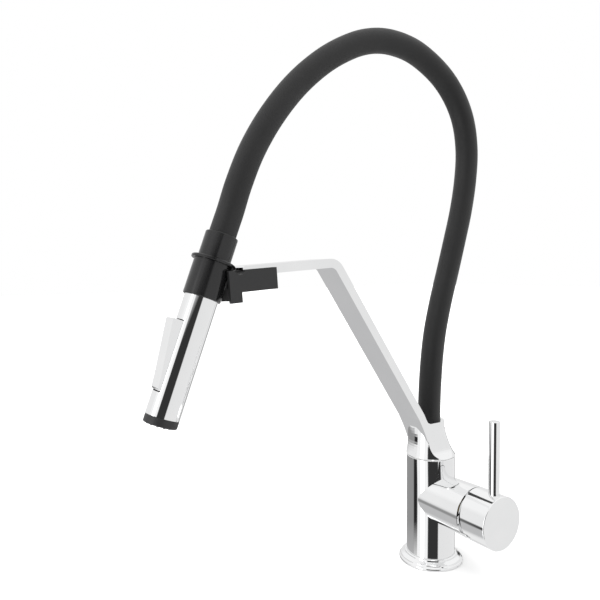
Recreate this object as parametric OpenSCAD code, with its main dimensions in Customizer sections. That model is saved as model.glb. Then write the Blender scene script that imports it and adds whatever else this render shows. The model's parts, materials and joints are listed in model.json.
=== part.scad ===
// Single lever kitchen faucet with a flexible hose arch and a hand spray held on a flat bar arm.
// Z is up, the deck is z = 0, the arm reaches towards -Y and the mixer handle points to +X.
// The origin is on the body axis, at the mouth of the central fixing hole.

/* [Body] */
// Diameter of the body column
body_d = 40; // [37:0.5:50]
// Height of the body column, from the deck to the swivel seam
body_h = 89.5; // [86:0.5:110]
// Width of the deck flange beyond the body column
flange_rim = 6.3; // [5:0.1:12]
// Height of the deck flange
flange_h = 5.6; // [4.5:0.1:9]
// Height of the raised ring between flange and column
flange_step_h = 2; // [1:0.1:3]
// Thickness of the deck gasket
gasket_t = 1.6; // [1:0.1:2.4]

/* [Deck side] */
// Radius of the central fixing hole, tapped M8
stud_r = 3.4; // [3:0.1:4]
// Radius of the two water inlets, tapped M10x1
inlet_r = 4.5; // [4:0.1:5]
// Distance of each inlet from the body axis
inlet_y = 10.5; // [9.5:0.5:12]
// Depth of the tapped holes in the underside
port_depth = 14; // [10:1:20]
// Radius of the drilled water passages
passage_r = 2.6; // [2:0.1:3]

/* [Mixer branch] */
// Outer diameter of the handle cap and of the branch at its end face
branch_d = 40.8; // [39:0.2:46]
// Diameter the mixer branch tapers to at the body axis
branch_root_d = 38.4; // [37:0.2:39.6]
// Distance from the body axis to the end face of the branch
branch_len = 48.7; // [46:0.1:60]
// Height of the mixer axis above the deck
branch_z = 55.6; // [52:0.2:60]
// Radius of the cartridge bore in the branch
socket_r = 17.6; // [17:0.1:18.4]
// Distance from the body axis to the floor of the cartridge bore
socket_x = 13; // [12.5:0.1:16]

/* [Handle] */
// Length of the handle cap, from its narrow gap to its end face
cap_len = 24.6; // [22:0.1:32]
// Gap between branch and cap at the top
cap_gap_top = 1.2; // [0.9:0.1:2]
// Gap between branch and cap at the bottom, which the tilt closes
cap_gap_bottom = 5.6; // [5.4:0.1:7]
// Wall of the handle cap
cap_wall = 2; // [1.5:0.1:2.4]
// Thickness of the solid end of the cap
cap_end_t = 12.5; // [11.5:0.1:14]
// Diameter of the lever pin
lever_d = 8.4; // [7:0.1:8.8]
// Length of the lever pin above the cap
lever_len = 55.6; // [40:1:80]
// Distance from the lever pin's axis to the end face of the cap
lever_inset = 7.9; // [6:0.1:8]
// Distance from the tilt axis to the end face of the branch
pivot_depth = 14.7; // [13:0.1:16]

/* [Swivel] */
// Gap at the seam between body and neck
seam_gap = 0.4; // [0.3:0.1:0.8]
// Radius of the swivel spigot
spigot_r = 11; // [10.5:0.1:11.4]
// Height of the spigot above the body
spigot_h = 9; // [8:0.1:10]
// Radial running clearance of the spigot in the neck
swivel_play = 0.05; // [0.03:0.01:0.09]

/* [Neck and arm] */
// Width of the arm bar and of the neck
bar_w = 25; // [24:0.5:28]
// Thickness of the arm bar
bar_t = 6.5; // [5.5:0.1:8]
// Angle of the rising stretch, above the horizontal
rise_angle = 56.2; // [50:0.2:62]
// Length of the rising stretch along its underside
rise_len = 148.1; // [120:0.1:180]
// Length of the top stretch along its underside
top_len = 73.4; // [60:0.1:90]
// Drop angle of the top stretch towards its end
top_drop = 4; // [0:0.5:8]
// Radius of the bend on the underside
bend_r = 6; // [3:0.5:12]
// Height of the hose cup's rim above the seam
cup_h = 29.5; // [26:0.5:31]
// Distance of the hose cup's axis from the swivel axis
cup_y = -2; // [-2.5:0.1:-1]

/* [Hose] */
// Outer diameter of the hose
hose_d = 18.5; // [15:0.1:18.7]
// Radial clearance of the hose in the cup and in the upper collar
hose_play = 0.25; // [0.2:0.05:0.4]
// Length of the fitting under the hose in the cup
ferrule_len = 4.8; // [4:0.1:5]

/* [Holder] */
// Width of the holder block
holder_w = 30; // [29:0.5:36]
// Length of the holder block behind the hook line
holder_len = 27.5; // [22:0.5:36]
// Height of the holder block
holder_h = 14.5; // [12:0.5:20]
// Thickness of the saddle plate in front of the hook line
saddle_t = 8; // [6:0.5:11]
// Height of the saddle plate
saddle_h = 21.2; // [18:0.2:30]
// Clearance of the docked collar in the saddle
saddle_play = 0.35; // [0.3:0.05:0.6]

/* [Spray head] */
// Lean of the spray head away from vertical at rest
head_tilt = 20.5; // [10:0.5:22]
// Diameter of the chrome spray tube
tube_d = 22.8; // [21.6:0.1:23.2]
// Wall of the chrome spray tube
tube_wall = 1.2; // [0.9:0.1:1.6]
// Length of the chrome tube below the hook flange
tube_len = 104; // [100:1:130]
// Diameter of the lower collar
collar_d = 25.5; // [25:0.1:28]
// Length of the lower collar
collar_len = 24.5; // [20:0.5:30]
// Diameter of the hook flange
hook_d = 30; // [29:0.2:32]
// Thickness of the hook flange
hook_t = 2; // [1.6:0.1:2.4]
// Diameter of the upper collar
sleeve_d = 22.2; // [21.4:0.1:24]
// Length of the upper collar
sleeve_len = 17.2; // [14:0.1:22]
// Height of the black spray face below the tube
face_h = 5.5; // [4:0.5:8]
// Number of spray nozzles round the face
nozzle_count = 12; // [8:1:16]

/* [Paddle] */
// Width of the paddle lever
paddle_w = 13; // [10:0.5:14]
// Length of the paddle lever
paddle_len = 46; // [42:0.5:52]
// Distance of the paddle's hinge below the hook flange
paddle_pivot_z = 84; // [82:0.5:90]
// Height of the paddle's free end above the tube
paddle_rise = 4.9; // [3:0.1:6]
// Radius of the paddle's hinge pin
pin_r = 1.2; // [1:0.1:1.4]

/* [Hidden] */
$fn = 96;

// Clearances
fit = 0.1;
run_play = 0.05;

body_r = body_d / 2;
flange_r = body_r + flange_rim;
branch_r = branch_d / 2;
branch_root_r = branch_root_d / 2;
neck_z = body_h + seam_gap;
socket_floor_z = body_h - 13.5;

// Mixer, along +X from the body axis
pivot_x = branch_len - pivot_depth;
cap_x = branch_len + cap_gap_top;
cap_end_x = cap_x + cap_len;
lever_x = cap_end_x - lever_inset;
cavity_x = cap_end_x - cap_end_t;
cap_bore_r = branch_r - cap_wall;
housing_x = socket_x + 0.2;
housing_end = branch_len - 8.7;
housing_r = socket_r - fit;
housing_base = 3;
disc_t = 3.4;
disc_r = socket_r - 3.4;
moving_x = housing_x + housing_base + disc_t + run_play;
port_y = 8;
port_drop = 6.4;
port_r = 2.6;
outlet_rise = 7;
outlet_r = 3;
stem_half_y = 3.6;
stem_half_z = 4;
stem_tip_x = moving_x + 1.75;

// Arm profile in the Y-Z plane
foot_y = -15;
foot_r = body_r + 0.5;
knee = [-24.7, neck_z + 34.5];
rise_dir = [-cos(rise_angle), sin(rise_angle)];
rise_out = [sin(rise_angle), cos(rise_angle)];
top_dir = [-cos(top_drop), -sin(top_drop)];
top_out = [-sin(top_drop), cos(top_drop)];
bend = knee + rise_len * rise_dir;
bar_tip = bend + top_len * top_dir;
turn_angle = rise_angle + top_drop;

// Hook line, where the spray head hangs on the holder
tip_gap = 3.5;
hook_rise = 4.4;
hook = bar_tip + tip_gap * top_dir + hook_rise * top_out;
holder_top = -0.3;
axis_back = collar_d / 2 + 0.25;

// Spray head, along its own axis
hose_r = hose_d / 2;
hose_bore_r = hose_r + hose_play;
tube_r = tube_d / 2;
tube_bore_r = tube_r - tube_wall;
collar_r = collar_d / 2;
core_r = tube_bore_r - 2.2;
stub_r = 4.9;
hose_seat = 6.3;
face_z = -tube_len;
valve_z = -60;
plunger_r = 2.5;
pin_out = core_r - 1.6;
lug_r = pin_r + 0.85;
paddle_play = 0.25;
paddle_low = -paddle_pivot_z - 4.5;
paddle_top = paddle_low + paddle_len;

// Hose midline in the Y-Z plane, from the cup to the upper collar
hose_route = [
    [-2, 104], [-2, 116], [-2, 130], [-1, 150], [1, 172], [4.5, 194], [11, 219], [19, 244],
    [27, 270], [34.5, 296], [39.5, 322], [41, 347], [36.5, 371], [25, 391], [7, 407],
    [-19, 419], [-45, 422], [-68, 418], [-90, 408], [-111, 394], [-132, 375], [-151, 352],
    [-166, 328], [-176.5, 304.5], [-183, 286], [-187, 275.5], [-194, 257]
];
hose_sides = 12;
hose_steps = 2;

// Points of an arc from angle a to angle b
function arc(c, r, a, b, n = 8) =
    [for (i = [0:n]) c + r * [cos(a + (b - a) * i / n), sin(a + (b - a) * i / n)]];

// Points of a quadratic curve with one pulling point
function quad(p, q, s, n = 12) =
    [for (i = [0:n]) let (t = i / n) (1 - t) * (1 - t) * p + 2 * t * (1 - t) * q + t * t * s];

// Catmull-Rom position and direction on a list of points
function cr(p, i, t) =
    let (n = len(p) - 1,
         a = p[max(i - 1, 0)], b = p[i], c = p[min(i + 1, n)], d = p[min(i + 2, n)])
    0.5 * (2 * b + (c - a) * t + (2 * a - 5 * b + 4 * c - d) * t * t
        + (3 * b - a - 3 * c + d) * t * t * t);
function smooth(p, k) = concat(
    [for (i = [0:len(p) - 2], j = [0:k - 1]) cr(p, i, j / k)], [p[len(p) - 1]]);
function unit(v) = v / norm(v);
function run_dir(p, i) = unit(p[min(i + 1, len(p) - 1)] - p[max(i - 1, 0)]);
function ring(c, d, r, n) =
    [for (k = [0:n - 1]) let (a = 360 * (k + 0.5) / n)
        [r * cos(a), c[0] - r * sin(a) * d[1], c[1] + r * sin(a) * d[0]]];

// Round tube swept along a route in the Y-Z plane
module swept_tube(route, r, sides) {
    count = len(route);
    pts = [for (i = [0:count - 1]) each ring(route[i], run_dir(route, i), r, sides)];
    walls = [for (i = [0:count - 2], k = [0:sides - 1])
        let (m = (k + 1) % sides, a = i * sides, b = a + sides)
        [a + k, b + k, b + m, a + m]];
    start_face = [for (k = [0:sides - 1]) k];
    end_face = [for (k = [sides - 1:-1:0]) (count - 1) * sides + k];
    polyhedron(points = pts, faces = concat(walls, [start_face, end_face]), convexity = 10);
}

// Places children on the mixer axis, with their Z along +X
module on_mixer(x) {
    translate([x, 0, branch_z]) rotate([0, 90, 0]) children();
}

// Places children at the hook line, square to the top stretch of the arm
module on_holder() {
    translate([0, hook[0], hook[1]]) rotate([top_drop, 0, 0]) children();
}

// Places children on the spray head's axis, with z = 0 under the hook flange
module on_head() {
    translate([0, hook[0], hook[1]]) rotate([-head_tilt, 0, 0]) translate([0, -axis_back, 0]) children();
}

// Ring with an inner and an outer radius
module tube(r, bore, h) {
    difference() {
        cylinder(r = r, h = h);
        translate([0, 0, -1]) cylinder(r = bore, h = h + 2);
    }
}

// O-ring lying in its groove
module o_ring(r, cord) {
    rotate_extrude() translate([r, 0]) circle(r = cord, $fn = 24);
}

module deck_gasket() {
    color("#202020") tube(flange_r - 1.6, body_r + 0.6, gasket_t);
}

module base_flange() {
    step_r = body_r + 1.7;
    color("silver") difference() {
        rotate_extrude() polygon(concat(
            [[body_r + run_play, 0.3], [flange_r - 0.8, 0.3]],
            arc([flange_r - 1.4, 1.7], 1.4, -60, 60, 6),
            [[flange_r - 1.2, flange_h - 1.9]],
            arc([flange_r - 2.2, flange_h - 1.9], 1, 10, 80, 5),
            [[step_r + 0.5, flange_h], [step_r, flange_h + 0.4]],
            arc([step_r - 0.8, flange_h + flange_step_h - 0.8], 0.8, 0, 90, 5),
            [[body_r + run_play, flange_h + flange_step_h]]));
        translate([0, 0, -1]) tube(flange_r - 1.5, body_r + 0.5, gasket_t + 1.1);
    }
}

// Water passages from the two inlets to the cartridge, and from the cartridge to the spigot
module passages() {
    in_z = branch_z - port_drop;
    out_z = branch_z + outlet_rise;
    cross_r = passage_r + 0.4;
    for (s = [-1, 1]) {
        translate([0, s * inlet_y, port_depth - 1]) cylinder(r = passage_r, h = in_z + 2 - port_depth);
        translate([-3, s * (inlet_y + port_y) / 2, in_z]) rotate([0, 90, 0])
            cylinder(r = cross_r, h = socket_x + 4);
    }
    translate([-1, 0, out_z]) rotate([0, 90, 0]) cylinder(r = outlet_r, h = socket_x + 2);
    translate([0, 0, out_z - outlet_r - 1])
        cylinder(r = outlet_r + 0.5, h = socket_floor_z - out_z + outlet_r + 2);
}

module body_shell() {
    color("silver") difference() {
        union() {
            cylinder(r = body_r, h = body_h - 0.4);
            translate([0, 0, body_h - 0.4]) cylinder(r1 = body_r, r2 = body_r - 0.4, h = 0.4);
            on_mixer(0) cylinder(r1 = branch_root_r, r2 = branch_r, h = branch_len - 0.3);
            on_mixer(branch_len - 0.3) cylinder(r1 = branch_r, r2 = branch_r - 0.3, h = 0.3);
        }
        on_mixer(socket_x) cylinder(r = socket_r, h = branch_len);
        translate([0, 0, socket_floor_z]) cylinder(r = spigot_r - 0.4, h = body_h);
        translate([0, 0, -1]) cylinder(r = stud_r, h = port_depth + 1);
        for (s = [-1, 1]) translate([0, s * inlet_y, -1]) cylinder(r = inlet_r, h = port_depth + 1);
        passages();
    }
}

// Brass spigot, screwed into the body, on which the neck turns
module swivel_spigot() {
    groove_z = [neck_z + 1.8, neck_z + 7.2];
    color("goldenrod") difference() {
        union() {
            translate([0, 0, socket_floor_z + 0.1]) cylinder(r = spigot_r - 0.5, h = 13.4);
            translate([0, 0, body_h]) cylinder(r = spigot_r, h = spigot_h + 0.2);
        }
        translate([0, 0, socket_floor_z - 1]) cylinder(r = 6, h = 30);
        for (z = groove_z) translate([0, 0, z - 1]) tube(spigot_r + 1, spigot_r - 1.8, 2);
        translate([0, 0, neck_z + 3.2]) tube(spigot_r + 1, spigot_r - 1.2, 2.6);
    }
}

module swivel_o_rings() {
    for (z = [neck_z + 1.8, neck_z + 7.2])
        color("black") translate([0, 0, z]) o_ring(spigot_r - 0.9, 0.88);
}

module swivel_washer() {
    color("white") translate([0, 0, body_h + 0.02]) tube(body_r - 1.5, spigot_r + 0.3, seam_gap - 0.1);
}

// The three port positions in the cartridge base, in the mixer's own frame
module at_ports() {
    for (s = [-1, 1]) translate([port_drop, s * port_y, 0]) children(0);
    translate([-outlet_rise, 0, 0]) children(1);
}

module cartridge_housing() {
    color("ivory") on_mixer(housing_x) difference() {
        cylinder(r = housing_r, h = housing_end - housing_x);
        translate([0, 0, housing_base]) cylinder(r = disc_r + fit, h = 40);
        translate([0, 0, -1]) at_ports() {
            cylinder(r = port_r, h = 9);
            cylinder(r = outlet_r, h = 9);
        }
        translate([0, 0, -1]) at_ports() {
            cylinder(r = port_r + 1.4, h = 2);
            cylinder(r = outlet_r + 1.4, h = 2);
        }
    }
}

module port_seals() {
    color("black") on_mixer(housing_x + 0.15) at_ports() {
        tube(port_r + 1.3, port_r, 0.8);
        tube(outlet_r + 1.3, outlet_r, 0.8);
    }
}

module ceramic_disc_fixed() {
    color("white") on_mixer(housing_x + housing_base + 0.02) difference() {
        cylinder(r = disc_r, h = disc_t);
        translate([0, 0, -1]) at_ports() {
            cylinder(r = port_r, h = 9);
            cylinder(r = outlet_r, h = 9);
        }
    }
}

// The upper disc slides and turns on the lower one, and its hollow joins the ports
module ceramic_disc_moving() {
    color("lightgray") on_mixer(moving_x) difference() {
        cylinder(r = disc_r - 3, h = disc_t);
        translate([0, 0, 1.3]) cylinder(r = 3.6, h = 9);
        translate([-outlet_rise, 0, -1]) cylinder(r = outlet_r, h = 2);
    }
}

module cartridge_carrier() {
    carrier_x = moving_x + disc_t + 0.3;
    color("ivory") on_mixer(carrier_x) difference() {
        cylinder(r = disc_r, h = housing_end - carrier_x - 0.4);
        translate([-stem_half_z - 3.4, -stem_half_y - 0.3, -1])
            cube([2 * stem_half_z + 6.8, 2 * stem_half_y + 0.6, 60]);
        translate([0, 0, pivot_x - carrier_x]) rotate([90, 0, 0]) cylinder(r = 2, h = 60, center = true);
    }
}

module stem_pivot_pin() {
    color("silver") translate([pivot_x, 0, branch_z]) rotate([90, 0, 0])
        cylinder(r = 2, h = 2 * disc_r - 2.4, center = true);
}

// Square stem that carries the handle, with a round tip in the moving disc
module cartridge_stem() {
    color("goldenrod") difference() {
        union() {
            translate([stem_tip_x + 3, -stem_half_y, branch_z - stem_half_z])
                cube([cavity_x + 5.5 - stem_tip_x - 3, 2 * stem_half_y, 2 * stem_half_z]);
            on_mixer(stem_tip_x) cylinder(r = 2.9, h = 4);
        }
        translate([pivot_x, 0, branch_z]) rotate([90, 0, 0])
            cylinder(r = 2 + run_play, h = 60, center = true);
    }
}

module cartridge_nut() {
    nut_x = housing_end + 0.1;
    color("goldenrod") on_mixer(nut_x) difference() {
        cylinder(r = socket_r - 0.15, h = 5.6);
        translate([0, 0, -1]) cylinder(r = 12, h = 9);
        for (a = [0:60:300]) rotate([0, 0, a]) translate([10, -1.5, 3]) cube([5, 3, 9]);
    }
}

// Chrome dome between nut and cap, turned about the tilt centre so that the cap clears it
module cartridge_cover() {
    dome_r = norm([pivot_depth + 1.3, socket_r - 0.3]);
    edge_x = branch_len + 1.3;
    mouth = 10.6;
    edge = socket_r - 0.3;
    t = 1.4;
    a0 = atan2(edge, edge_x - pivot_x);
    a1 = asin(mouth / dome_r);
    b1 = asin(mouth / (dome_r - t));
    b0 = asin((edge - t) / (dome_r - t));
    start = housing_end + 5.8 - pivot_x;
    color("silver") on_mixer(pivot_x) rotate_extrude() polygon(concat(
        [[edge, start]],
        [for (i = [0:10]) let (a = a0 + (a1 - a0) * i / 10) dome_r * [sin(a), cos(a)]],
        [for (i = [0:10]) let (a = b1 + (b0 - b1) * i / 10) (dome_r - t) * [sin(a), cos(a)]],
        [[edge - t, start]]));
}

// Handle cap: its open rim is cut on a slant, wide at the bottom where the tilt closes it
module handle_cap() {
    slant = atan((cap_gap_bottom - cap_gap_top) / branch_d);
    color("silver") difference() {
        union() {
            on_mixer(branch_len) cylinder(r = branch_r, h = cap_end_x - branch_len - 0.8);
            on_mixer(cap_end_x - 0.8) rotate_extrude() polygon(concat(
                [[0, 0]], arc([branch_r - 0.8, 0], 0.8, 0, 90, 6), [[0, 0.8]]));
        }
        on_mixer(branch_len - 1) cylinder(r = cap_bore_r, h = cavity_x - branch_len + 1);
        translate([cap_x, 0, branch_z + branch_r]) rotate([0, -slant, 0])
            translate([-30, -50, -80]) cube([30, 100, 100]);
        translate([cavity_x - 1, -stem_half_y - fit, branch_z - stem_half_z - fit])
            cube([6.8, 2 * stem_half_y + 2 * fit, 2 * stem_half_z + 2 * fit]);
        translate([lever_x, 0, branch_z + stem_half_z + 5]) cylinder(r = lever_d / 2, h = 60);
        translate([cavity_x + 2.9, 0, branch_z - 40]) cylinder(r = 2.1, h = 40 - stem_half_z);
    }
}

module lever_pin() {
    foot = branch_z + stem_half_z + 5.1;
    top = branch_z + branch_r + lever_len;
    r = lever_d / 2;
    color("silver") translate([lever_x, 0, 0]) rotate_extrude() polygon(concat(
        [[0, foot], [r - 0.02, foot]], arc([r - 0.62, top - 0.6], 0.6, 0, 90, 6), [[0, top]]));
}

module handle_set_screw() {
    head = branch_z - stem_half_z - 9;
    color("gray") translate([cavity_x + 2.9, 0, head]) difference() {
        cylinder(r = 2, h = 8.9);
        translate([0, 0, -1]) cylinder(r = 1.15, h = 3.5, $fn = 6);
    }
}

// Arm bar outline: foot, rising stretch, bend and top stretch
module arm_outline() {
    under = [[foot_y, neck_z + 14], [-16.6, neck_z + 18], [-17.9, neck_z + 21], [-20.6, neck_z + 26.7], knee];
    bend_in = bend_r * tan(turn_angle / 2);
    bend_c = bend - bend_in * rise_dir - bend_r * rise_out;
    outer_r = bend_r + bar_t;
    back = knee + bar_t * rise_out;
    rim = neck_z + cup_h;
    a = 90 - rise_angle;
    b = 90 + top_drop;
    polygon(concat(
        under,
        arc(bend_c, bend_r, a, b, 10),
        [bar_tip, bar_tip + (bar_t - 1) * top_out, bar_tip - 1.6 * top_dir + bar_t * top_out],
        arc(bend_c, outer_r, b, a, 14),
        [back, [back[0] + 2.2, back[1] - 4.4], [back[0] + 4.2, rim + 1.2], [back[0] + 7, rim],
         [cup_y, rim], [cup_y, neck_z + 14]]));
}

module arm_bar() {
    translate([-bar_w / 2, 0, 0]) rotate([90, 0, 90]) linear_extrude(bar_w) arm_outline();
}

// Foot of the neck: round in front, with flat sides that flare to the body's circle
module neck_foot() {
    top = neck_z + cup_h - 1.5;
    reach = foot_r + 1;
    side = quad([foot_r + 0.4, neck_z], [13.2, neck_z + 4], [bar_w / 2, neck_z + 16]);
    intersection() {
        translate([0, reach, 0]) rotate([90, 0, 0]) linear_extrude(2 * reach)
            polygon(concat(side, [[bar_w / 2, top], [-bar_w / 2, top]],
                [for (i = [len(side) - 1:-1:0]) [-side[i][0], side[i][1]]]));
        union() {
            rotate_extrude() polygon(concat(
                [[0, neck_z], [body_r - 0.2, neck_z]],
                quad([body_r + 0.2, neck_z + 0.6], [13.2, neck_z + 10], [bar_w / 2 - 2, top]),
                [[0, top]]));
            intersection() {
                rotate_extrude() polygon(concat(
                    [[0, neck_z], [body_r, neck_z]],
                    quad([foot_r, neck_z + 0.9], [foot_r - 2.6, neck_z + 13], [foot_r + 0.4, neck_z + 27]),
                    [[foot_r + 0.4, top], [0, top]]));
                translate([-reach, 0, 0]) rotate([90, 0, 90]) linear_extrude(2 * reach) polygon([
                    [0, neck_z], [0, neck_z + 20], [-18, top], [-20.4, neck_z + 26],
                    [-reach, neck_z + 15], [-reach, neck_z]]);
            }
        }
    }
}

module neck_arm() {
    color("silver") difference() {
        union() {
            arm_bar();
            neck_foot();
            translate([0, cup_y, neck_z + 12]) cylinder(r = bar_w / 2, h = cup_h - 12);
        }
        translate([0, 0, neck_z - 1]) cylinder(r = spigot_r + swivel_play, h = spigot_h + 1.2);
        translate([0, cup_y, neck_z + spigot_h]) cylinder(r = hose_bore_r, h = 60);
        translate([0, 0, neck_z + 4.5]) rotate([-90, 0, 0]) cylinder(r = 2, h = 40);
        on_holder() translate([0, tip_gap + 11, -hook_rise - 1]) cylinder(r = 1.65, h = 5.6);
    }
}

module neck_grub_screw() {
    tip_y = spigot_r - 1;
    color("gray") translate([0, 0, neck_z + 4.5]) rotate([-90, 0, 0]) difference() {
        union() {
            translate([0, 0, tip_y]) cylinder(r = 1, h = 3);
            translate([0, 0, spigot_r + 0.4]) cylinder(r = 1.95, h = 3.2);
        }
        translate([0, 0, spigot_r + 2.2]) cylinder(r = 1.1, h = 3, $fn = 6);
    }
}

// Brass fitting crimped on the hose, at the floor of the cup
module hose_ferrule_lower() {
    color("goldenrod") translate([0, cup_y, neck_z + spigot_h + 0.3])
        tube(hose_r, 5, ferrule_len);
}

module hose() {
    color("#181818") swept_tube(smooth(hose_route, hose_steps), hose_r, hose_sides);
}

// Black holder under the end of the bar, with a saddle for the docked collar
module holder_bracket() {
    color("#2a2a2a") on_holder() difference() {
        union() {
            translate([-holder_w / 2, 0, holder_top - holder_h]) cube([holder_w, holder_len, holder_h]);
            translate([-holder_w / 2, -saddle_t, holder_top - saddle_h])
                cube([holder_w, saddle_t + 0.5, saddle_h]);
        }
        translate([0, -axis_back, -60]) cylinder(r = collar_r + saddle_play, h = 100);
        translate([-bar_w / 2 - fit, tip_gap - 0.2, -hook_rise - 0.02])
            cube([bar_w + 2 * fit, 60, 40]);
        rotate([0, 90, 0]) cylinder(r = 3.4, h = 60, center = true);
        translate([0, tip_gap + 11, -60]) cylinder(r = 2.2, h = 80);
        translate([0, tip_gap + 11, -60]) cylinder(r = 4.1, h = 60 + holder_top - holder_h + 4);
        translate([0, -1, -10.4]) rotate([-90, 0, 0]) cylinder(r = 5.05, h = 4.4);
    }
}

module holder_screw() {
    head_z = holder_top - holder_h + 0.6;
    color("gray") on_holder() translate([0, tip_gap + 11, head_z]) difference() {
        union() {
            cylinder(r = 3.9, h = 3.3);
            cylinder(r = 2.1, h = -hook_rise - head_z - 0.1);
            cylinder(r = 1.6, h = -hook_rise - head_z + 4);
        }
        translate([0, 0, -1]) cylinder(r = 1.5, h = 3, $fn = 6);
    }
}

module dock_magnet() {
    color("#404040") on_holder() translate([0, 0.6, -10.4]) rotate([-90, 0, 0]) cylinder(r = 5, h = 2.7);
}

// Black sleeve that grips the hose's end and carries the swivel stub
module upper_collar() {
    z0 = hook_t + 0.3;
    color("#222222") on_head() difference() {
        translate([0, 0, z0]) rotate_extrude() polygon(concat(
            [[0, 0], [sleeve_d / 2 - 0.4, 0], [sleeve_d / 2, 0.4]],
            arc([sleeve_d / 2 - 0.7, sleeve_len - 0.7], 0.7, 0, 90, 6),
            [[0, sleeve_len]]));
        translate([0, 0, hose_seat - 2.4]) cylinder(r = hose_bore_r, h = 60);
        cylinder(r = stub_r + fit, h = 60);
    }
}

module hose_ferrule_upper() {
    color("goldenrod") on_head() difference() {
        union() {
            translate([0, 0, hose_seat - 2.3]) cylinder(r = hose_r, h = 2.25);
            translate([0, 0, -12]) cylinder(r = stub_r, h = 12 + hose_seat - 1);
        }
        translate([0, 0, -20]) cylinder(r = 3, h = 60);
        translate([0, 0, -9]) tube(stub_r + 1, stub_r - 1.2, 1.8);
    }
}

module ferrule_o_ring() {
    color("black") on_head() translate([0, 0, -8.1]) o_ring(stub_r - 0.6, 0.58);
}

module lower_collar() {
    color("#222222") on_head() difference() {
        union() {
            translate([0, 0, -collar_len]) rotate_extrude() polygon([
                [0, 0], [collar_r - 0.5, 0], [collar_r, 0.5], [collar_r, collar_len], [0, collar_len]]);
            rotate_extrude() polygon([
                [0, 0], [hook_d / 2 - 0.3, 0], [hook_d / 2, 0.3], [hook_d / 2, hook_t - 0.5],
                [hook_d / 2 - 0.5, hook_t], [0, hook_t]]);
        }
        translate([0, 0, -60]) cylinder(r = tube_r + fit, h = 56);
        translate([0, 0, -20]) cylinder(r = stub_r + 1.2, h = 60);
    }
}

module spray_body() {
    half = paddle_w / 2 + paddle_play;
    low = paddle_low - 3 * paddle_play;
    deep = sqrt(tube_bore_r * tube_bore_r - half * half) - 0.6;
    color("silver") on_head() difference() {
        translate([0, 0, face_z]) tube(tube_r, tube_bore_r, tube_len - 4.2);
        translate([-half, -tube_r - 1, low])
            cube([2 * half, tube_r + 1 - deep, paddle_top + 3 * paddle_play - low]);
    }
}

// Plastic core inside the tube, which carries the water and the valve
module waterway() {
    low = -tube_len + 11;
    color("dimgray") on_head() difference() {
        union() {
            translate([0, 0, low]) cylinder(r = core_r, h = -low - 5);
            translate([0, 0, low]) cylinder(r = tube_bore_r - fit, h = 3);
            translate([0, 0, -paddle_pivot_z - 3]) intersection() {
                cylinder(r = tube_bore_r - fit, h = 6);
                translate([-6, -core_r - 0.2, 0]) cube([12, core_r, 6]);
            }
        }
        translate([0, 0, -20]) cylinder(r = stub_r + run_play, h = 60);
        translate([0, 0, -tube_len]) cylinder(r = 3.4, h = tube_len);
        translate([0, 0, -45]) cylinder(r = 5, h = 22);
        translate([0, 0, valve_z]) rotate([90, 0, 0]) cylinder(r = plunger_r + run_play, h = 30);
        translate([0, 4.5, valve_z]) rotate([90, 0, 0]) cylinder(r = plunger_r + run_play, h = 20);
        translate([-2.7, -20, -paddle_pivot_z - 8]) cube([5.4, 20 - pin_out + lug_r + 0.1, 16]);
        translate([0, -pin_out, -paddle_pivot_z]) rotate([0, 90, 0])
            cylinder(r = pin_r, h = 40, center = true);
    }
}

module check_valve() {
    color("white") on_head() translate([0, 0, -44.8]) difference() {
        cylinder(r = 4.9, h = 12);
        translate([0, 0, 3]) cylinder(r = 3.2, h = 20);
        for (a = [0:120:240]) rotate([0, 0, a]) translate([2.4, 0, -1]) cylinder(r = 0.9, h = 9);
    }
}

// Valve plunger, pushed in by the paddle's finger
module valve_plunger() {
    color("white") on_head() translate([0, -core_r + 2.4, valve_z]) rotate([90, 0, 0]) {
        cylinder(r = plunger_r, h = 3.2);
        translate([0, 0, -4.7]) cylinder(r = 1.4, h = 4.8);
    }
}

// Return spring in the valve bore, its axis across the spray head
module valve_spring() {
    turns = 4;
    steps = 12;
    pitch = 0.85;
    coil_r = 1.95;
    wire = 0.25;
    sides = 6;
    pts = [for (i = [0:turns * steps]) let (a = 360 * i / steps) each
        [for (k = [0:sides - 1]) let (b = 360 * k / sides, q = coil_r + wire * cos(b))
            [q * cos(a), q * sin(a), pitch * a / 360 + wire * sin(b)]]];
    count = turns * steps + 1;
    walls = [for (i = [0:count - 2], k = [0:sides - 1])
        let (m = (k + 1) % sides, p = i * sides, q = p + sides) [p + m, q + m, q + k, p + k]];
    low_cap = [for (k = [0:sides - 1]) k];
    high_cap = [for (k = [sides - 1:-1:0]) (count - 1) * sides + k];
    color("silver") on_head() translate([0, 0.6, valve_z]) rotate([-90, 0, 0])
        polyhedron(points = pts, faces = concat(walls, [low_cap, high_cap]), convexity = 10);
}

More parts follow.
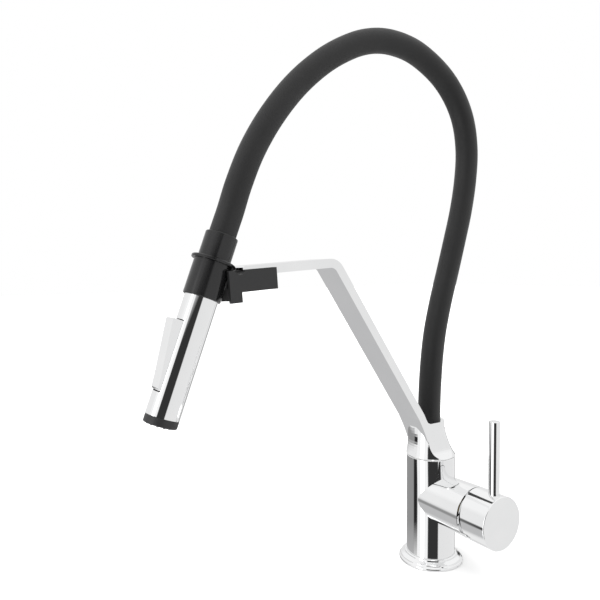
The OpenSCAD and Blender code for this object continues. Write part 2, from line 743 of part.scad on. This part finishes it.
// Paddle lever: a wedge in the tube's window, hinged low, its free end proud at the top
module paddle_lever() {
    inner = core_r + 0.5;
    press = 3.2;
    finger = 3;
    color("silver") on_head() difference() {
        union() {
            difference() {
                translate([-paddle_w / 2, 0, 0]) rotate([90, 0, 90]) linear_extrude(paddle_w) polygon([
                    [-inner, paddle_low], [-tube_r + 1, paddle_low], [-tube_r + 0.2, paddle_low + 1.2],
                    [-tube_r - 0.5, paddle_low + 9], [-tube_r - paddle_rise, paddle_top - 0.8],
                    [-tube_r - paddle_rise + 0.7, paddle_top], [-inner, paddle_top]]);
                translate([0, 0, -paddle_pivot_z]) cylinder(r = core_r + 0.4, h = 60);
                translate([0, -pin_out, -paddle_pivot_z]) rotate([press, 0, 0]) translate([0, pin_out, 0])
                    cylinder(r = core_r + 0.4, h = 60);
            }
            translate([-2.4, -inner - 1, -paddle_pivot_z - lug_r]) cube([4.8, inner + 1 - pin_out, 2 * lug_r]);
            translate([0, -pin_out, -paddle_pivot_z]) rotate([0, 90, 0])
                cylinder(r = lug_r, h = 4.8, center = true);
            translate([-finger / 2, -tube_r - 1, valve_z - finger / 2])
                cube([finger, tube_r + 1 - core_r - 1.2, finger]);
        }
        translate([0, -pin_out, -paddle_pivot_z]) rotate([0, 90, 0])
            cylinder(r = pin_r + run_play, h = 40, center = true);
    }
}

module paddle_pin() {
    color("gray") on_head() translate([0, -pin_out, -paddle_pivot_z]) rotate([0, 90, 0])
        cylinder(r = pin_r, h = 8.2, center = true);
}

module spray_face() {
    r = tube_r - 0.2;
    nozzle_r = tube_bore_r - 1.9;
    color("#222222") on_head() difference() {
        union() {
            translate([0, 0, face_z - face_h]) rotate_extrude() polygon(concat(
                [[0, 0]], arc([r - 1, 1], 1, -90, 0, 6), [[r, face_h - 0.05], [0, face_h - 0.05]]));
            translate([0, 0, face_z - 0.1]) cylinder(r = tube_bore_r - fit, h = 8);
        }
        translate([0, 0, face_z - 20]) cylinder(r = 5.6, h = 60);
        for (i = [0:nozzle_count - 1]) rotate([0, 0, 360 * i / nozzle_count])
            translate([nozzle_r, 0, face_z - 20]) cylinder(r = 0.75, h = 60);
    }
}

module aerator() {
    color("gray") on_head() translate([0, 0, face_z - face_h + 0.8]) difference() {
        cylinder(r = 5.5, h = 12);
        for (x = [-3:1.5:3], y = [-3:1.5:3]) if (norm([x, y]) < 4.4)
            translate([x - 0.5, y - 0.5, -1]) cube([1, 1, 2.2]);
        translate([0, 0, 1.1]) cylinder(r = 4.6, h = 20);
    }
}

module spray_nozzles() {
    nozzle_r = tube_bore_r - 1.9;
    color("dimgray") on_head() for (i = [0:nozzle_count - 1]) rotate([0, 0, 360 * i / nozzle_count])
        translate([nozzle_r, 0, face_z - face_h - 0.6]) cylinder(r = 0.7, h = face_h + 6);
}

deck_gasket();
base_flange();
body_shell();
swivel_spigot();
swivel_o_rings();
swivel_washer();
cartridge_housing();
port_seals();
ceramic_disc_fixed();
ceramic_disc_moving();
cartridge_carrier();
stem_pivot_pin();
cartridge_stem();
cartridge_nut();
cartridge_cover();
handle_cap();
lever_pin();
handle_set_screw();
neck_arm();
neck_grub_screw();
hose_ferrule_lower();
hose();
holder_bracket();
holder_screw();
dock_magnet();
upper_collar();
hose_ferrule_upper();
ferrule_o_ring();
lower_collar();
spray_body();
waterway();
check_valve();
valve_plunger();
valve_spring();
paddle_lever();
paddle_pin();
spray_face();
aerator();
spray_nozzles();
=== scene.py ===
import json
import math

import bmesh
import bpy
from mathutils import Matrix, Vector


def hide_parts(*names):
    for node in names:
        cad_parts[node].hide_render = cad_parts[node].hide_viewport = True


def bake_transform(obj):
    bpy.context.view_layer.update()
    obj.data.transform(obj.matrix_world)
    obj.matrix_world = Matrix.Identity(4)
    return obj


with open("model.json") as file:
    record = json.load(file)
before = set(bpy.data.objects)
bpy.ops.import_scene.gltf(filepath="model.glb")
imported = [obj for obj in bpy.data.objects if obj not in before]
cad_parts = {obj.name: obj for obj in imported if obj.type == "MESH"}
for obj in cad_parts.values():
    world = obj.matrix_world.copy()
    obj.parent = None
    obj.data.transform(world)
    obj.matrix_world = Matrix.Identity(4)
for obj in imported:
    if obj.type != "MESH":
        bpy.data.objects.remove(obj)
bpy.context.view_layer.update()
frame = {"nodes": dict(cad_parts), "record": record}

NODES = frame["nodes"]
MM = 0.001

# ---------------------------------------------------------------- camera
# Photographic view: a 36 mm lens, from the handle side and slightly in front
CAM_AZIMUTH = math.radians(58)
CAM_PITCH = math.radians(-3)
CAM_ROLL = math.radians(-0.5)
CAM_PLACE = Vector((366.3, -357.4, 246.9)) * MM
LENS = 36.0


def make_camera():
    data = bpy.data.cameras.new("camera")
    data.lens = LENS
    data.sensor_width = 36.0
    data.shift_x = -0.001
    data.clip_start = 0.01
    data.clip_end = 50
    cam = bpy.data.objects.new("camera", data)
    bpy.context.scene.collection.objects.link(cam)
    turn = (Matrix.Rotation(CAM_AZIMUTH, 4, "Z") @ Matrix.Rotation(math.pi / 2 + CAM_PITCH, 4, "X")
            @ Matrix.Rotation(CAM_ROLL, 4, "Z"))
    cam.matrix_world = Matrix.Translation(CAM_PLACE) @ turn
    bpy.context.scene.camera = cam


make_camera()

# ---------------------------------------------------------------- node helpers


def new_material(name):
    mat = bpy.data.materials.new(name)
    mat.use_nodes = True
    tree = mat.node_tree
    shader = tree.nodes["Principled BSDF"]
    return mat, tree, shader


def add(tree, kind, **settings):
    node = tree.nodes.new(kind)
    for key, value in settings.items():
        setattr(node, key, value)
    return node


def link(tree, a, b):
    tree.links.new(a, b)


def object_coords(tree, scale=(1, 1, 1)):
    coord = add(tree, "ShaderNodeTexCoord")
    mapping = add(tree, "ShaderNodeMapping")
    mapping.inputs["Scale"].default_value = scale
    link(tree, coord.outputs["Object"], mapping.inputs["Vector"])
    return mapping.outputs["Vector"]


def noise(tree, vector, scale, detail=4.0, rough=0.5):
    node = add(tree, "ShaderNodeTexNoise")
    node.inputs["Scale"].default_value = scale
    node.inputs["Detail"].default_value = detail
    node.inputs["Roughness"].default_value = rough
    link(tree, vector, node.inputs["Vector"])
    return node.outputs["Fac"]


def span(tree, value, low, high, a, b):
    """Maps low..high to a..b."""
    node = add(tree, "ShaderNodeMapRange")
    for key, number in (("From Min", low), ("From Max", high), ("To Min", a), ("To Max", b)):
        node.inputs[key].default_value = number
    link(tree, value, node.inputs["Value"])
    return node.outputs["Result"]


def bump(tree, height, strength, distance, shader):
    node = add(tree, "ShaderNodeBump")
    node.inputs["Strength"].default_value = strength
    node.inputs["Distance"].default_value = distance
    link(tree, height, node.inputs["Height"])
    link(tree, node.outputs["Normal"], shader.inputs["Normal"])


def product(tree, a, b):
    node = add(tree, "ShaderNodeMath", operation="MULTIPLY")
    link(tree, a, node.inputs[0])
    link(tree, b, node.inputs[1])
    return node.outputs[0]


def mix(tree, factor, a, b):
    """Turns colour a to b by the factor. Each is a colour or a socket."""
    node = add(tree, "ShaderNodeMix", data_type="RGBA")
    link(tree, factor, node.inputs["Factor"])
    for key, value in (("A", a), ("B", b)):
        if isinstance(value, tuple):
            node.inputs[key].default_value = (*value, 1)
        else:
            link(tree, value, node.inputs[key])
    return node.outputs["Result"]


def tint(tree, value, dark, light, shader):
    link(tree, mix(tree, value, dark, light), shader.inputs["Base Color"])


# ---------------------------------------------------------------- materials


def chrome(name, low=0.025, high=0.07):
    """Polished chrome: faint smears in the gloss and a barely wavy surface."""
    mat, tree, shader = new_material(name)
    shader.inputs["Metallic"].default_value = 1.0
    where = object_coords(tree)
    smear = noise(tree, where, 38.0, 3.0)
    fine = noise(tree, where, 900.0, 2.0)
    tint(tree, smear, (0.86, 0.865, 0.87), (0.93, 0.93, 0.93), shader)
    link(tree, span(tree, smear, 0.35, 0.7, low, high), shader.inputs["Roughness"])
    bump(tree, fine, 0.012, 0.0002, shader)
    return mat


def plastic(name, dark, light, low, high, grain, depth):
    """Moulded plastic with its grain and some rubbed spots."""
    mat, tree, shader = new_material(name)
    where = object_coords(tree)
    spots = noise(tree, where, 60.0, 3.0)
    pores = noise(tree, where, grain, 3.0)
    tint(tree, spots, dark, light, shader)
    link(tree, span(tree, spots, 0.3, 0.7, low, high), shader.inputs["Roughness"])
    bump(tree, pores, depth, 0.0003, shader)
    return mat


def turned_metal(name, dark, light, stretch=(60, 60, 1600)):
    """Machined metal with fine turning lines."""
    mat, tree, shader = new_material(name)
    shader.inputs["Metallic"].default_value = 1.0
    lines = noise(tree, object_coords(tree, stretch), 1.0, 4.0, 0.6)
    tint(tree, lines, dark, light, shader)
    link(tree, span(tree, lines, 0.2, 0.8, 0.2, 0.42), shader.inputs["Roughness"])
    bump(tree, lines, 0.08, 0.0002, shader)
    return mat


def hose_rubber(name):
    """Matte black silicone with a fine skin, a soft sheen and dusty lighter patches."""
    mat, tree, shader = new_material(name)
    where = object_coords(tree)
    dust = noise(tree, where, 22.0, 5.0, 0.6)
    skin = noise(tree, where, 1500.0, 2.0)
    tint(tree, dust, (0.003, 0.003, 0.0032), (0.006, 0.006, 0.0063), shader)
    link(tree, span(tree, dust, 0.3, 0.7, 0.5, 0.68), shader.inputs["Roughness"])
    shader.inputs["Sheen Weight"].default_value = 0.06
    shader.inputs["Sheen Roughness"].default_value = 0.5
    bump(tree, skin, 0.12, 0.0003, shader)
    return mat


MATERIALS = {
    "chrome": chrome("chrome"),
    "black_gloss": plastic("black_gloss", (0.004, 0.004, 0.0043), (0.008, 0.008, 0.0083),
                           0.14, 0.22, 900, 0.02),
    "black_satin": plastic("black_satin", (0.01, 0.01, 0.0105), (0.016, 0.016, 0.0165),
                           0.42, 0.55, 1400, 0.12),
    "hose_rubber": hose_rubber("hose_rubber"),
    "seal_rubber": plastic("seal_rubber", (0.02, 0.02, 0.02), (0.035, 0.035, 0.035), 0.6, 0.8, 1200, 0.1),
    "brass": turned_metal("brass", (0.62, 0.45, 0.18), (0.8, 0.62, 0.3)),
    "steel": turned_metal("steel", (0.42, 0.43, 0.44), (0.62, 0.62, 0.63)),
    "magnet_nickel": turned_metal("magnet_nickel", (0.35, 0.35, 0.36), (0.5, 0.5, 0.5)),
    "ceramic": plastic("ceramic", (0.8, 0.8, 0.78), (0.88, 0.88, 0.86), 0.12, 0.2, 500, 0.02),
    "acetal": plastic("acetal", (0.74, 0.73, 0.68), (0.84, 0.83, 0.78), 0.35, 0.5, 900, 0.05),
    "grey_plastic": plastic("grey_plastic", (0.22, 0.23, 0.24), (0.3, 0.31, 0.32), 0.4, 0.55, 900, 0.06),
}


def smooth_by_angle(obj, limit=math.radians(28)):
    """Smooth shading, with the edges over the limit kept sharp."""
    mesh = obj.data
    work = bmesh.new()
    work.from_mesh(mesh)
    for face in work.faces:
        face.smooth = True
    for edge in work.edges:
        edge.smooth = len(edge.link_faces) == 2 and edge.calc_face_angle(0) < limit
    work.to_mesh(mesh)
    work.free()


for part in frame["record"]["subparts"]:
    obj = NODES[part["node"]]
    obj.data.materials.clear()
    obj.data.materials.append(MATERIALS[part["material_slot"]])

# ---------------------------------------------------------------- hose
HOSE_D = 18.5
CURVE_STEPS = 8
HOSE_SIDES = 40
HOSE_SMOOTH = math.radians(50)
HOSE_ROUTE = [
    (-2, 104), (-2, 116), (-2, 130), (-1, 150), (1, 172), (4.5, 194), (11, 219), (19, 244),
    (27, 270), (34.5, 296), (39.5, 322), (41, 347), (36.5, 371), (25, 391), (7, 407),
    (-19, 419), (-45, 422), (-68, 418), (-90, 408), (-111, 394), (-132, 375), (-151, 352),
    (-166, 328), (-176.5, 304.5), (-183, 286), (-187, 275.5), (-194, 257),
]


def catmull(points, steps):
    """Smooth curve through the points."""
    out = []
    last = len(points) - 1
    for i in range(last):
        a = points[max(i - 1, 0)]
        b = points[i]
        c = points[i + 1]
        d = points[min(i + 2, last)]
        for j in range(steps):
            t = j / steps
            out.append(0.5 * (2 * b + (c - a) * t + (2 * a - 5 * b + 4 * c - d) * t * t
                              + (3 * b - a - 3 * c + d) * t * t * t))
    out.append(points[last].copy())
    return out


def sweep(name, path, radius, sides):
    """Round tube with closed ends, along a path in the Y-Z plane."""
    work = bmesh.new()
    rings = []
    for i, p in enumerate(path):
        along = (path[min(i + 1, len(path) - 1)] - path[max(i - 1, 0)]).normalized()
        side = Vector((1, 0, 0))
        up = along.cross(side)
        rings.append([work.verts.new(p + radius * (math.cos(a) * side + math.sin(a) * up))
                      for a in (2 * math.pi * k / sides for k in range(sides))])
    for low, high in zip(rings, rings[1:]):
        for k in range(sides):
            m = (k + 1) % sides
            work.faces.new((low[k], low[m], high[m], high[k]))
    work.faces.new(rings[0][::-1])
    work.faces.new(rings[-1])
    bmesh.ops.recalc_face_normals(work, faces=work.faces)
    mesh = bpy.data.meshes.new(name)
    work.to_mesh(mesh)
    work.free()
    obj = bpy.data.objects.new(name, mesh)
    bpy.context.scene.collection.objects.link(obj)
    return obj


route = catmull([Vector((0, y, z)) * MM for y, z in HOSE_ROUTE], CURVE_STEPS)
hose = sweep("hose_cover", route, HOSE_D / 2 * MM, HOSE_SIDES)
smooth_by_angle(hose, HOSE_SMOOTH)
hose.data.materials.append(MATERIALS["hose_rubber"])
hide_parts("hose")
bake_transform(hose)

for obj in NODES.values():
    smooth_by_angle(obj)

# ---------------------------------------------------------------- studio


def make_floor():
    bpy.ops.mesh.primitive_plane_add(size=12)
    floor = bpy.context.object
    floor.name = "floor"
    mat, tree, shader = new_material("floor")
    shader.inputs["Base Color"].default_value = (0.9, 0.9, 0.9, 1)
    shader.inputs["Roughness"].default_value = 0.9
    floor.data.materials.append(mat)
    floor.visible_glossy = False


def make_sun():
    data = bpy.data.lights.new("soft_light", "SUN")
    data.energy = 3.2
    data.angle = math.radians(70)
    sun = bpy.data.objects.new("soft_light", data)
    bpy.context.scene.collection.objects.link(sun)
    sun.rotation_euler = (math.radians(25), math.radians(20), 0)
    sun.visible_glossy = False


# Bands of the studio round the object: angle to the right of the camera, brightness
BANDS = [
    (-180, 0.85), (-150, 0.85), (-128, 0.9), (-82, 0.9), (-79, 1.0), (-62, 1.0),
    (-59, 3.0), (-47, 3.0), (-44, 1.0), (-28, 1.0), (-25, 0.035), (21, 0.035),
    (24, 0.84), (142, 0.88), (145, 0.05), (150, 0.05), (153, 0.85), (180, 0.85),
]
WHITE = (1.0, 1.0, 1.0)
CARD = (0.54, 0.54, 0.545)
FLOOR_GREY = (0.9, 0.9, 0.9)


def band_colour(tree, angle):
    """The bands as a colour ramp over the full turn."""
    ramp = add(tree, "ShaderNodeValToRGB")
    marks = ramp.color_ramp.elements
    while len(marks) > 1:
        marks.remove(marks[0])
    marks[0].position = 0
    for i, (deg, level) in enumerate(BANDS):
        mark = marks[0] if i == 0 else marks.new((deg + 180) / 360)
        mark.color = (level, level, level, 1)
    link(tree, span(tree, angle, -math.pi, math.pi, 0, 1), ramp.inputs["Fac"])
    return ramp.outputs["Color"]


def sky_place(tree):
    """Angle to the right of the camera, and height from -1 below to 1 above."""
    coord = add(tree, "ShaderNodeTexCoord")
    split = add(tree, "ShaderNodeSeparateXYZ")
    turn = add(tree, "ShaderNodeVectorRotate", rotation_type="Z_AXIS")
    turn.inputs["Angle"].default_value = math.pi / 2 - CAM_AZIMUTH
    link(tree, coord.outputs["Generated"], turn.inputs["Vector"])
    link(tree, turn.outputs["Vector"], split.inputs["Vector"])
    angle = add(tree, "ShaderNodeMath", operation="ARCTAN2")
    link(tree, split.outputs["Y"], angle.inputs[0])
    link(tree, split.outputs["X"], angle.inputs[1])
    return angle.outputs[0], split.outputs["Z"]


def make_world():
    """White studio whose darker bands give the chrome its strips; the camera sees plain white."""
    world = bpy.data.worlds.new("studio")
    bpy.context.scene.world = world
    world.use_nodes = True
    tree = world.node_tree
    tree.nodes.clear()
    angle, height = sky_place(tree)

    def left_of(edge, soft_edge):
        return span(tree, angle, math.radians(edge), math.radians(soft_edge), 0, 1)

    # Overhead the studio is white
    colour = mix(tree, span(tree, height, 0.3, 0.5, 0, 1), band_colour(tree, angle), WHITE)
    # Behind on the left its lower part is a grey card
    low = span(tree, height, -0.12, -0.38, 0, 1)
    colour = mix(tree, product(tree, low, left_of(-98, -101)), colour, CARD)
    # A low screen on the left, black turning to grey, darkens the column's left edge
    above = span(tree, height, -0.45, -0.39, 0, 1)
    below = span(tree, height, -0.22, -0.3, 0, 1)
    screen = product(tree, product(tree, below, above), left_of(-79, -82))
    shade = span(tree, angle, math.radians(-97), math.radians(-103), 0.02, 0.3)
    colour = mix(tree, screen, colour, shade)
    # Straight down lies the pale floor
    colour = mix(tree, span(tree, height, -0.7, -0.78, 0, 1), colour, FLOOR_GREY)
    rays = add(tree, "ShaderNodeLightPath")
    colour = mix(tree, rays.outputs["Is Camera Ray"], colour, WHITE)
    back = add(tree, "ShaderNodeBackground")
    back.inputs["Strength"].default_value = 1.0
    link(tree, colour, back.inputs["Color"])
    out = add(tree, "ShaderNodeOutputWorld")
    link(tree, back.outputs["Background"], out.inputs["Surface"])


make_floor()
make_sun()
make_world()
bpy.context.scene.view_settings.view_transform = "Standard"
